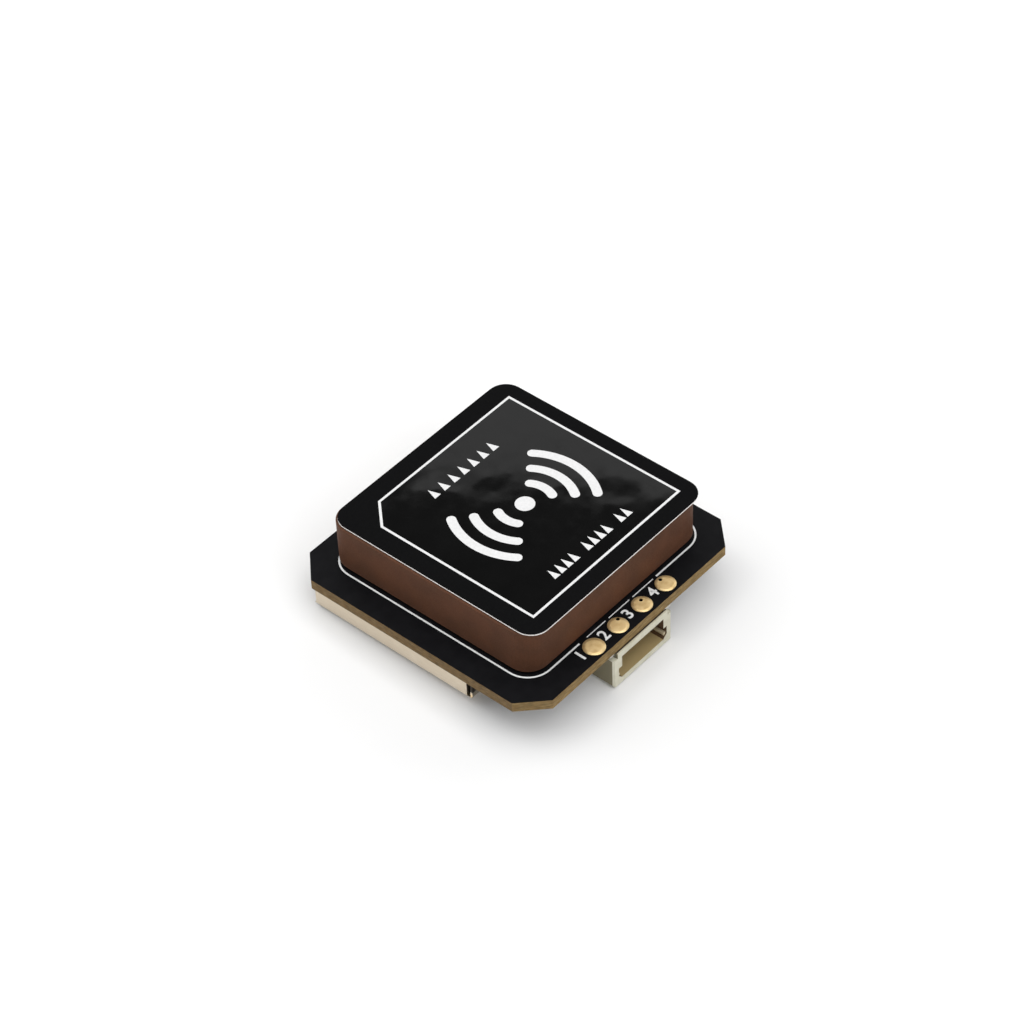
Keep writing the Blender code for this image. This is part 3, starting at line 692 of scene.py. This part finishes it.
def make_label_print():
    """The label's gloss field, frame line, radio-wave sign and rows of up-pointing marks."""
    low = label_top
    high = label_top + PRINT_THICKNESS

    shape = bmesh.new()
    prism(shape, frame_corners(), low, label_top + GLOSS_THICKNESS)
    add_piece("label_gloss_field", shape, gloss)

    shape = bmesh.new()
    strip(shape, *rails(frame_corners(), FRAME_WIDTH, closed=True), low, high, closed=True)
    add_piece("label_frame_line", shape, white_ink)

    centre = (label.x + DOT_X, label.y + DOT_Y)
    shape = bmesh.new()
    prism(shape, arc(centre, DOT_RADIUS, 0, 360, DOT_SEGMENTS)[:-1], low, high)
    add_piece("label_dot", shape, white_ink)

    for side, waves in (("right", RIGHT_WAVES), ("left", LEFT_WAVES)):
        for number, (radius, start, end) in enumerate(waves, start=1):
            steps = WAVE_STEPS + WAVE_STEPS_PER_RING * number
            line = arc(centre, radius, start, end, steps)
            shape = bmesh.new()
            strip(shape, *rounded_ends(line, WAVE_WIDTH), low, high)
            add_piece(f"label_wave_{side}_{number}", shape, white_ink)

    for name, (first_x, last_x), base_y, groups in MARK_ROWS:
        places = sum(groups) + len(groups) - 1
        pitch = (last_x - first_x) / places
        base = min(MARK_BASE, pitch * MARK_SHARE)
        slot_number = 0
        shape = bmesh.new()
        for size in groups:
            for _ in range(size):
                x = label.x + first_x + (slot_number + 0.5) * pitch
                y = label.y + base_y
                triangle = [(x - base / 2, y), (x + base / 2, y), (x, y + MARK_HEIGHT)]
                prism(shape, triangle, low, high)
                slot_number += 1
            slot_number += 1
        add_piece(f"label_marks_{name}", shape, white_ink)


def pad_middles():
    return [middle_of(f"solder_pad_{number}") for number in NUMBERS]


def make_board_print():
    """The outline round the antenna, broken at the solder pads, and the pads' numbers."""
    low = board_top
    high = board_top + INK_THICKNESS
    left = antenna.x + OUTLINE_LEFT + OUTLINE_RADIUS
    right = antenna.x + OUTLINE_RIGHT - OUTLINE_RADIUS
    front = antenna.y + OUTLINE_FRONT
    near = front + OUTLINE_RADIUS
    far = antenna.y + OUTLINE_BACK - OUTLINE_RADIUS
    breaks = []
    for number, pad in enumerate(pad_middles(), start=1):
        pad_low, pad_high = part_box(f"solder_pad_{number}")
        reach = (pad_high[0] - pad_low[0]) / 2 + OUTLINE_CLEARANCE
        distance = front - pad.y
        half = math.sqrt(reach ** 2 - distance ** 2)
        breaks.append((pad.x - half, pad.x + half))

    loop = [(breaks[-1][1], front)]
    corners = (((right, near), -90), ((right, far), 0), ((left, far), 90), ((left, near), 180))
    for centre, start in corners:
        loop += arc(centre, OUTLINE_RADIUS, start, start + 90, OUTLINE_CORNER_STEPS)
    loop.append((breaks[0][0], front))

    shape = bmesh.new()
    strip(shape, *rails(loop, OUTLINE_WIDTH), low, high)
    for (_, start_x), (end_x, _) in zip(breaks, breaks[1:]):
        line = [(start_x, front), (end_x, front)]
        strip(shape, *rails(line, DASH_WIDTH), low, high)
    add_piece("board_outline_print", shape, grey_ink)

    for number, pad in enumerate(pad_middles(), start=1):
        centre = (pad.x + NUMERAL_SHIFTS_X[number - 1], pad.y + NUMERAL_SHIFT_Y)
        make_numeral(f"board_numeral_{number}", str(number), centre, low, high)


def make_numeral(name, text, centre, low, high):
    """A pad's number, drawn with the program's own plain font and scaled to its height."""
    curve = bpy.data.curves.new(name + "_text", "FONT")
    curve.body = text
    curve.extrude = NUMERAL_EXTRUDE
    curve.offset = NUMERAL_WEIGHT
    guide = bpy.data.objects.new(name + "_text", curve)
    bpy.context.scene.collection.objects.link(guide)
    graph = bpy.context.evaluated_depsgraph_get()
    mesh = bpy.data.meshes.new_from_object(guide.evaluated_get(graph))
    bpy.data.objects.remove(guide)
    bpy.data.curves.remove(curve)
    shape = bmesh.new()
    shape.from_mesh(mesh)
    bpy.data.meshes.remove(mesh)
    bmesh.ops.remove_doubles(shape, verts=shape.verts, dist=NUMERAL_MERGE)
    corners = [[vert.co[axis] for vert in shape.verts] for axis in range(3)]
    lows = [min(values) for values in corners]
    highs = [max(values) for values in corners]
    scale = NUMERAL_HEIGHT / (highs[1] - lows[1])
    for vert in shape.verts:
        vert.co.x = centre[0] + (vert.co.x - (lows[0] + highs[0]) / 2) * scale
        vert.co.y = centre[1] + (vert.co.y - (lows[1] + highs[1]) / 2) * scale
        vert.co.z = low + (vert.co.z - lows[2]) / (highs[2] - lows[2]) * (high - low)
    add_piece(name, shape, grey_ink)


def fillet(shape, start, end, outward, width, height):
    """Solder along an edge under the board: a hollow curve from the board down the piece's side."""
    start = Vector(start)
    end = Vector(end)
    outward = Vector(outward)
    down = Vector((0.0, 0.0, -1.0))
    profile = [Vector((0.0, 0.0, 0.0))]
    for step in range(FILLET_POINTS + 1):
        angle = math.pi / 2 * step / FILLET_POINTS
        out = width * (1 - math.sin(angle))
        drop = height * (1 - math.cos(angle))
        profile.append(outward * out + down * drop)
    rows = [[shape.verts.new(tip + point) for point in profile] for tip in (start, end)]
    count = len(profile)
    for index in range(count):
        following = (index + 1) % count
        shape.faces.new((rows[0][index], rows[0][following], rows[1][following], rows[1][index]))
    for row in rows:
        shape.faces.new(row)


def make_solder():
    """Fillets at the ends of two small parts, along the shield can and behind the contacts."""
    for name in ("capacitor_5", "resistor_3"):
        low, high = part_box(name)
        shape = bmesh.new()
        for x, outward in ((low[0], -1), (high[0], 1)):
            start = (x, low[1], board_bottom)
            end = (x, high[1], board_bottom)
            fillet(shape, start, end, (outward, 0, 0), *PART_FILLET)
        add_piece(name + "_solder", shape, solder)

    shape = bmesh.new()
    low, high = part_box("shield_can")
    half = CAN_FILLET_LENGTH / 2
    for share in CAN_FILLET_SHARES:
        y = low[1] + (high[1] - low[1]) * share
        for x, outward in ((low[0], -1), (high[0], 1)):
            start = (x, y - half, board_bottom)
            end = (x, y + half, board_bottom)
            fillet(shape, start, end, (outward, 0, 0), *CAN_FILLET)
        x = low[0] + (high[0] - low[0]) * share
        for y, outward in ((low[1], -1), (high[1], 1)):
            start = (x - half, y, board_bottom)
            end = (x + half, y, board_bottom)
            fillet(shape, start, end, (0, outward, 0), *CAN_FILLET)
    add_piece("shield_can_solder", shape, solder)

    for number in NUMBERS:
        low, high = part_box(f"connector_contact_{number}")
        shape = bmesh.new()
        start = (low[0], high[1], board_bottom)
        end = (high[0], high[1], board_bottom)
        fillet(shape, start, end, (0, 1, 0), *CONTACT_FILLET)
        add_piece(f"connector_contact_{number}_solder", shape, solder)


def make_mouth_keys():
    """A guide rib with a rounded nose along each end wall inside the connector's mouth."""
    low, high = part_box("connector_housing")
    finish = key_finish()
    middle = low[2] + (KEY_LOW + KEY_HIGH) / 2
    half = (KEY_HIGH - KEY_LOW) / 2
    front = low[1] + KEY_SETBACK
    left = low[0] + MOUTH_SIDE_WALL
    right = high[0] - MOUTH_SIDE_WALL
    for name, wall, inward in (("left", left, 1), ("right", right, -1)):
        profile = [(wall - inward * MOUTH_LIP, middle - half)]
        for step in range(KEY_STEPS + 1):
            angle = math.pi * (step / KEY_STEPS - 0.5)
            reach = KEY_REACH - half * (1 - math.cos(angle))
            profile.append((wall + inward * reach, middle + half * math.sin(angle)))
        profile.append((wall - inward * MOUTH_LIP, middle + half))
        shape = bmesh.new()
        ends = (front, front + KEY_LENGTH)
        rows = [[shape.verts.new((x, y, z)) for x, z in profile] for y in ends]
        for index in range(len(profile)):
            following = (index + 1) % len(profile)
            corners = (rows[0][index], rows[0][following], rows[1][following], rows[1][index])
            shape.faces.new(corners)
        for row in rows:
            shape.faces.new(row)
        add_piece(f"mouth_key_{name}", shape, finish)


def make_finishes():
    """Dresses every CAD node in its own finish."""
    dress(board_finish(), "circuit_board")
    dress(gold_finish(), *(f"solder_pad_{number}" for number in NUMBERS))
    dress(ceramic_finish(), "antenna_ceramic")
    dress(label_finish(), "antenna_label")
    dress(tape_finish(), "antenna_tape")
    silver = sheet_finish("fired_silver", srgb(196, 196, 192), srgb(224, 224, 220), 0.42)
    dress(silver, "antenna_ground_electrode", "antenna_top_electrode", "antenna_feed_pin")
    dark, light = srgb(214, 200, 178), srgb(226, 214, 194)
    # The can's sheet carries painted shade at its foot, front-wall ends and front corners.
    can = sheet_finish("can_sheet", dark, light, 0.34, (1.0, 14.0, 1.0), can_colour)
    dress(can, "shield_can")
    dress(housing_finish(), "connector_housing")
    dark, light = srgb(196, 194, 188), srgb(222, 220, 214)
    tin = sheet_finish("contact_tin", dark, light, 0.28, (1.0, 6.0, 1.0))
    contacts = [f"connector_contact_{number}" for number in NUMBERS]
    dress(tin, *contacts, "connector_tab_left", "connector_tab_right")
    dress(package_finish(), "receiver_chip", "low_noise_amplifier", "inductor")
    dress(lid_finish(), "reference_oscillator", "clock_crystal", "band_filter")
    capacitor = capped_finish("capacitor_ochre", srgb(150, 122, 92), srgb(176, 146, 112), "X")
    dress(capacitor, *(f"capacitor_{number}" for number in range(1, 6)))
    resistor = capped_finish("resistor_black", srgb(26, 26, 28), srgb(40, 40, 42), "X")
    dress(resistor, *(f"resistor_{number}" for number in range(1, 4)))
    dark, light = srgb(28, 28, 29), srgb(42, 42, 43)
    regulator = capped_finish("regulator_package", dark, light, "Y", LEAD_SHARE)
    dress(regulator, "voltage_regulator")


def make_floor():
    """The module rests on the connector's back edge and on the shield can's far edge."""
    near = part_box("connector_housing")
    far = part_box("shield_can")
    near_y = near[1][1]
    near_z = near[0][2]
    far_y = far[1][1] - CAN_BEND
    far_z = far[0][2]
    slope = math.atan2(far_z - near_z, far_y - near_y)
    shape = bmesh.new()
    segments = FLOOR_SEGMENTS
    bmesh.ops.create_grid(shape, x_segments=segments, y_segments=segments, size=FLOOR_HALF)
    mesh = bpy.data.meshes.new("floor")
    shape.to_mesh(mesh)
    shape.free()
    floor = bpy.data.objects.new("floor", mesh)
    bpy.context.scene.collection.objects.link(floor)
    seat = Matrix.Translation((0.0, near_y, near_z))
    floor.matrix_world = seat @ Matrix.Rotation(slope, 4, "X")
    made, tree, shader = new_material("floor_white", FLOOR_PLAIN, 0.9, specular=0.1)
    share = spread(tree, grain(tree, FLOOR_CLOUD, 2.0), 0, 1)
    colour = blend_colours(tree, share, FLOOR_DARK, FLOOR_LIGHT)
    tree.links.new(colour, shader.inputs["Base Color"])
    shader.inputs["Emission Color"].default_value = WHITE
    shader.inputs["Emission Strength"].default_value = FLOOR_GLOW
    floor.data.materials.append(made)


def aim(obj, position, target):
    """Puts a light at a place, facing another."""
    direction = Vector(target) - Vector(position)
    obj.location = position
    obj.rotation_mode = "QUATERNION"
    obj.rotation_quaternion = direction.to_track_quat("-Z", "Y")


def softbox(name, azimuth, elevation, size, radiance):
    """A square-cornered panel of light that faces the module. Azimuth 0 is at -Y and 90 at +X."""
    turn = math.radians(azimuth)
    rise = math.radians(elevation)
    flat = math.cos(rise)
    back = Vector((math.sin(turn) * flat, -math.cos(turn) * flat, math.sin(rise)))
    light = bpy.data.lights.new(name, "AREA")
    light.shape = "RECTANGLE"
    light.size, light.size_y = size
    light.energy = radiance * math.pi * size[0] * size[1]
    made = bpy.data.objects.new(name, light)
    bpy.context.scene.collection.objects.link(made)
    aim(made, antenna + back * LIGHT_DISTANCE, antenna)


def make_studio():
    """Three softboxes and a pale wall of light behind the module, in dim even surroundings."""
    world = bpy.data.worlds.new("studio")
    world.use_nodes = True
    background = world.node_tree.nodes["Background"]
    background.inputs["Color"].default_value = WHITE
    background.inputs["Strength"].default_value = WORLD_STRENGTH
    bpy.context.scene.world = world
    for name, azimuth, elevation, side, radiance in SOFTBOXES:
        softbox(name, azimuth, elevation, (side, side), radiance)
    for name, azimuth, width, top, radiance in WALL_PANELS:
        height = 2 * math.tan(math.radians(top / 2))
        softbox(name, azimuth, top / 2, (width, height), radiance)
    view = bpy.context.scene.view_settings
    view.view_transform = "Standard"
    view.look = "None"


def make_camera():
    """The photograph's own viewpoint, solved from its straight edges."""
    azimuth = math.radians(CAMERA_AZIMUTH)
    elevation = math.radians(CAMERA_ELEVATION)
    roll = math.radians(CAMERA_ROLL)
    flat = math.cos(elevation)
    back = Vector((math.sin(azimuth) * flat, -math.cos(azimuth) * flat, math.sin(elevation)))
    level = Vector((math.cos(azimuth), math.sin(azimuth), 0.0))
    upward = back.cross(level)
    right = level * math.cos(roll) + upward * math.sin(roll)
    up = upward * math.cos(roll) - level * math.sin(roll)
    target = Vector((antenna.x, antenna.y, board_top))
    position = target + right * CAMERA_RIGHT + up * CAMERA_UP + back * CAMERA_DISTANCE
    data = bpy.data.cameras.new("camera")
    data.lens = CAMERA_LENS
    data.sensor_width = CAMERA_SENSOR
    data.clip_start, data.clip_end = CAMERA_CLIP
    camera = bpy.data.objects.new("camera", data)
    bpy.context.scene.collection.objects.link(camera)
    turn = Matrix((right, up, back)).transposed()
    camera.matrix_world = Matrix.Translation(position) @ turn.to_4x4()
    bpy.context.scene.camera = camera


gloss = gloss_finish()
white_ink = ink_finish("white_print", srgb(216, 216, 216), srgb(224, 224, 224))
grey_ink = ink_finish("board_print", srgb(226, 228, 228), srgb(240, 241, 240))
solder = sheet_finish("solder_tin", srgb(188, 188, 184), srgb(220, 220, 216), 0.24)

make_camera()
make_finishes()
make_label_print()
make_board_print()
make_solder()
make_mouth_keys()
make_floor()
make_studio()
